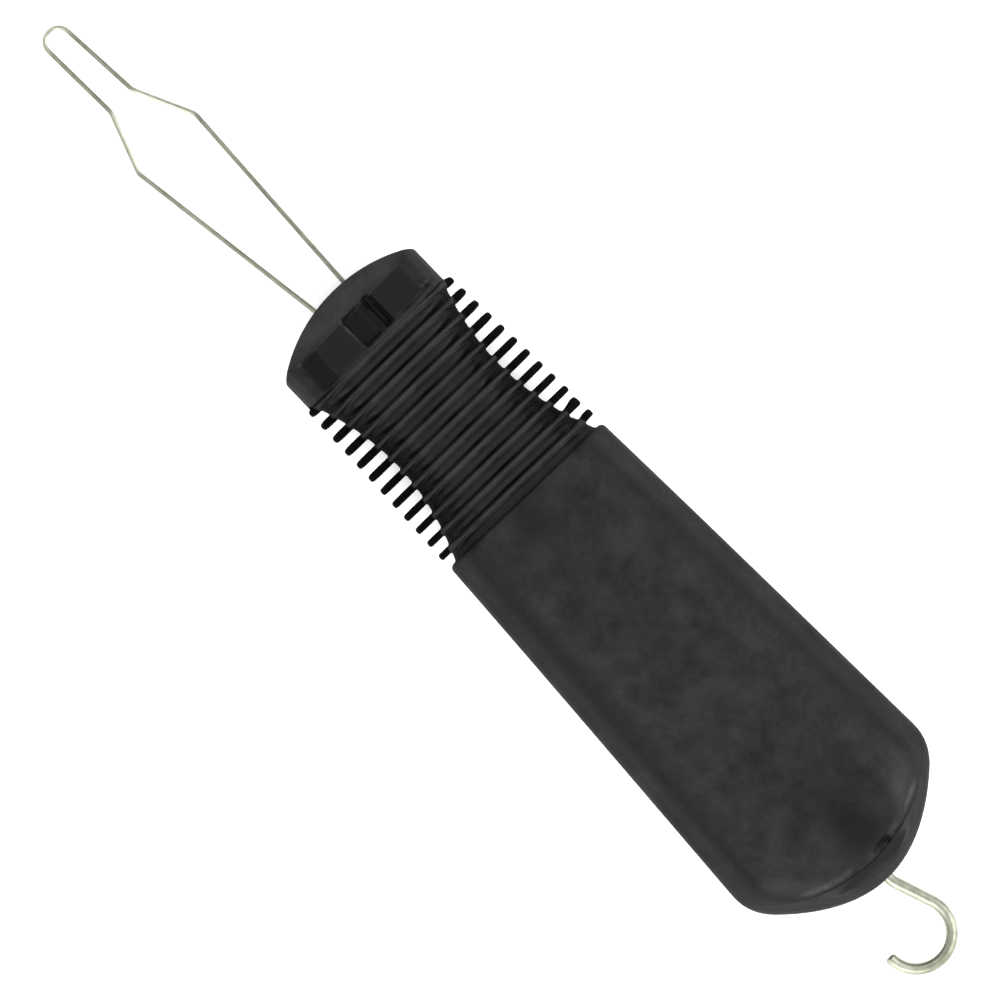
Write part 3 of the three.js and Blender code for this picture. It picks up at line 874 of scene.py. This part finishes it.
def sleeve_painted_light(points):
    """Painted light on the sleeve's colour: painted shade in the bays, valleys, folds and the thumb dish,
    at the cap's sides, along the sides and in two spots by the neck, and painted highlights on the rib
    between two bays and on the edge beside the seam.
    """
    x, y, z = points.T
    on_face = np.abs(z) > CORE_HALF_THICKNESS
    neck, body = (x > CAP_END) & (x < BODY_START), x > BODY_START
    # Painted shade in the thumb dish.
    dish = in_dish(x, y)
    width = np.where(body, body_sizes(x)[0], WAIST_HALF_WIDTH)
    # Painted shade along the sides, stronger on the -y side.
    side = smoothstep(np.abs(y / width), 0.56, 0.7) * (body + neck * np.where(y > 0, 0.25, 1))
    side += 0.6 * between(-y / width, 0.64, 0.86, 0.16) * body
    # Painted shade in two spots by the neck, standing in for a darker reflection.
    shaded_patches = sum(
        size * np.exp(-(((x - at) / SHADED_PATCH_LENGTH) ** 2) - ((y - off) / SHADED_PATCH_WIDTH) ** 2)
        for at, off, size in SHADED_PATCHES)
    from_fin = off_fins(x, y)
    # Painted shade in the fins' valleys and in the folds at their nose-side feet.
    valley = smoothstep(np.abs(from_fin), 0.4, 0.75) * neck
    fold = between(from_fin, -0.85, -0.36, 0.2) * neck * on_face
    # Painted shade at the cap's sides and in its bays.
    cap_side = smoothstep(np.abs(y - CAP_SHIFT), 10.5, 12.5) * (x < CAP_END)
    bay = np.clip(bay_depth(x, y) / PLAIN_BAY, 0, 1) * on_face * (x < CAP_END)
    across = cap_frame(x, y)[1]
    # Painted highlight on the rib between two bays.
    rib = between(across, *RIB, 0.3) * between(x, BAY_START, BAY_END, 0.5) * on_face
    shaded = 0.95 * dish + 0.6 * side + 0.5 * valley + 0.45 * fold + 0.3 * cap_side + 0.95 * bay
    shaded = shaded + shaded_patches * body
    # Painted highlight on the sleeve's edge beside the seam.
    crescent = between(seam_arc(y) - x, 0.45, 1.3, 0.6) * between(np.abs(y - DISH_Y), 4.2, 12.5, 2.5)
    return np.clip(1 - shaded, 0.05, 1) + RIB_HIGHLIGHT * rib + CRESCENT_HIGHLIGHT * crescent * on_face


def dryness(piece):
    """Extra roughness of the steep sides, which hands smooth less than the broad faces."""
    normals = np.empty(len(piece.data.vertices) * 3)
    piece.data.vertices.foreach_get("normal", normals)
    return DRY_SIDES * smoothstep(1 - np.abs(normals.reshape(-1, 3)[:, 2]), 0.15, 0.7)


def dress_sleeve(piece):
    """Store the sleeve's painted light and dryness, and give the deeper bays' floors, the pit and the
    fins' free tips darker rubber as painted shade, and the fins' crests paler rubber as a painted
    highlight.
    """
    for material in (RUBBER, RECESS, FIN_TIP, CREST):
        piece.data.materials.append(material)
    keep_values(piece, "painted_light", sleeve_painted_light(handle_points(piece)))
    x, y, _ = handle_points(piece).T
    keep_values(piece, "dry", dryness(piece) - DISH_POLISH * in_dish(x, y) * (x < SEAM_X))
    centres = np.array([face.center for face in piece.data.polygons]) / MM - (NOSE_X, 0, MID_Z)
    x, y, z = centres.T
    on_face = np.abs(z) > CORE_HALF_THICKNESS
    depth = bay_depth(x, y) * on_face
    neck_half, neck_height, _ = neck_sizes(x)
    finned = (x > CAP_END) & (x < BODY_START - 0.5)
    beyond_neck = finned & (np.abs(y - bow(x)) > neck_half + TIP_BEYOND)
    crest = finned & on_face & (np.abs(z) > neck_height + RIDGE_ABOVE)
    pit = on_face & (x > SEAM_X - 2.2) & (dish_depth(x, y) > PIT_DEPTH)
    slots = np.select([(depth > BAY_DEEP) | pit, beyond_neck, crest], [1, 2, 3], 0)
    piece.data.polygons.foreach_set("material_index", slots)


def dress_plug(piece):
    piece.data.materials.append(PLUG)
    dry = dryness(piece)
    # Painted shade on the plug's steep end.
    keep_values(piece, "painted_light", 1 - PLUG_SIDE_SHADE * dry)
    keep_values(piece, "dry", dry)


def dress(piece, material, node):
    if material is RUBBER:
        dress_sleeve(piece)
    elif material is PLUG:
        dress_plug(piece)
    else:
        piece.data.materials.append(material)
    shade(piece)
    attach(piece, "root")
    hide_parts(node)


dress(grip_sleeve(), RUBBER, "grip_sleeve")
dress(tail_plug(), PLUG, "tail_plug")
dress(wire("button_loop_wire", loop_line(), LOOP_WIRE, 0.3), LOOP_STEEL, "button_wire")
dress(wire("zip_hook_wire", hook_line(), HOOK_WIRE, 0.3, 40), HOOK_STEEL, "zip_hook")

for node in ("core_upper_half", "core_lower_half"):
    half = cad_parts[node]
    half.data.materials.clear()
    half.data.materials.append(CORE)

# ---- stage, light and camera -----------------------------------------------------

FRAME_WIDTH = 157.9 * MM  # of the plane of the wires, across the whole picture
VIEW_CENTRE = Vector(((NOSE_X + 42.0) * MM, -3.15 * MM, MID_Z * MM))
VIEW_TURN = math.radians(46.3)  # how far the handle's line points below the horizontal
CAMERA_HEIGHT = 1.1
SURROUND = [(0.0, 0.15), (0.25, 0.4), (0.6, 0.68), (1.0, 0.58)]  # level by the height of a direction
SURROUND_STRENGTH = 1.5
FLOOR_GLOW = 0.3  # keeps the floor beside the handle from greying
SOFTBOXES = {"right_box": (48, 14), "left_box": (-50, 13), "nose_box": (180, 4)}  # azimuth and power
SOFTBOX_TILT, SOFTBOX_DISTANCE, SOFTBOX_SIZE = 52, 1.3, (1.1, 0.7)  # its tilt is from straight up


def floor():
    bpy.ops.mesh.primitive_grid_add(x_subdivisions=8, y_subdivisions=8, size=6, location=(0, 0, -0.00005))
    plane = bpy.context.object
    plane.name = "pale_floor"
    m = Nodes("pale_floor")
    m.to("Base Color", (0.92, 0.92, 0.92, 1))
    m.to("Roughness", 0.9)
    m.to("Emission Color", (1, 1, 1, 1))
    m.to("Emission Strength", FLOOR_GLOW)
    plane.data.materials.append(m.material)


def camera():
    data = bpy.data.cameras.new("camera")
    data.sensor_width = 36
    data.lens = data.sensor_width * CAMERA_HEIGHT / FRAME_WIDTH
    data.clip_end = 20
    eye = bpy.data.objects.new("camera", data)
    eye.matrix_world = Matrix.Translation(VIEW_CENTRE + Vector((0, 0, CAMERA_HEIGHT))) @ Matrix.Rotation(
        VIEW_TURN, 4, "Z")
    bpy.context.scene.collection.objects.link(eye)
    bpy.context.scene.camera = eye


def softbox(name, azimuth, power):
    """An area light that looks at the middle of the handle; its azimuth is from the tail, in degrees."""
    data = bpy.data.lights.new(name, "AREA")
    data.shape = "RECTANGLE"
    data.size, data.size_y = SOFTBOX_SIZE
    data.energy = power
    lamp = bpy.data.objects.new(name, data)
    turn, tilt = math.radians(azimuth), math.radians(SOFTBOX_TILT)
    towards = Vector((math.sin(tilt) * math.cos(turn), math.sin(tilt) * math.sin(turn), math.cos(tilt)))
    lamp.location = VIEW_CENTRE + towards * SOFTBOX_DISTANCE
    lamp.rotation_euler = towards.to_track_quat("Z", "Y").to_euler()
    bpy.context.scene.collection.objects.link(lamp)


def studio():
    """A soft surround, brightest half way up, and large soft boxes by the tail and, weaker, the nose."""
    world = bpy.data.worlds.new("studio")
    bpy.context.scene.world = world
    world.use_nodes = True
    tree = world.node_tree
    direction = tree.nodes.new("ShaderNodeTexCoord").outputs["Generated"]
    split = tree.nodes.new("ShaderNodeSeparateXYZ")
    tree.links.new(direction, split.inputs["Vector"])
    fade = tree.nodes.new("ShaderNodeValToRGB")
    tree.links.new(split.outputs["Z"], fade.inputs["Fac"])
    elements = fade.color_ramp.elements
    while len(elements) < len(SURROUND):
        elements.new(0.5)
    for element, (height, level) in zip(elements, SURROUND):
        element.position = height
        element.color = (level, level, level, 1)
    background = tree.nodes["Background"]
    background.inputs["Strength"].default_value = SURROUND_STRENGTH
    tree.links.new(fade.outputs["Color"], background.inputs["Color"])
    for name, (azimuth, power) in SOFTBOXES.items():
        softbox(name, azimuth, power)


floor()
camera()
studio()
bpy.context.scene.view_settings.view_transform = "Standard"
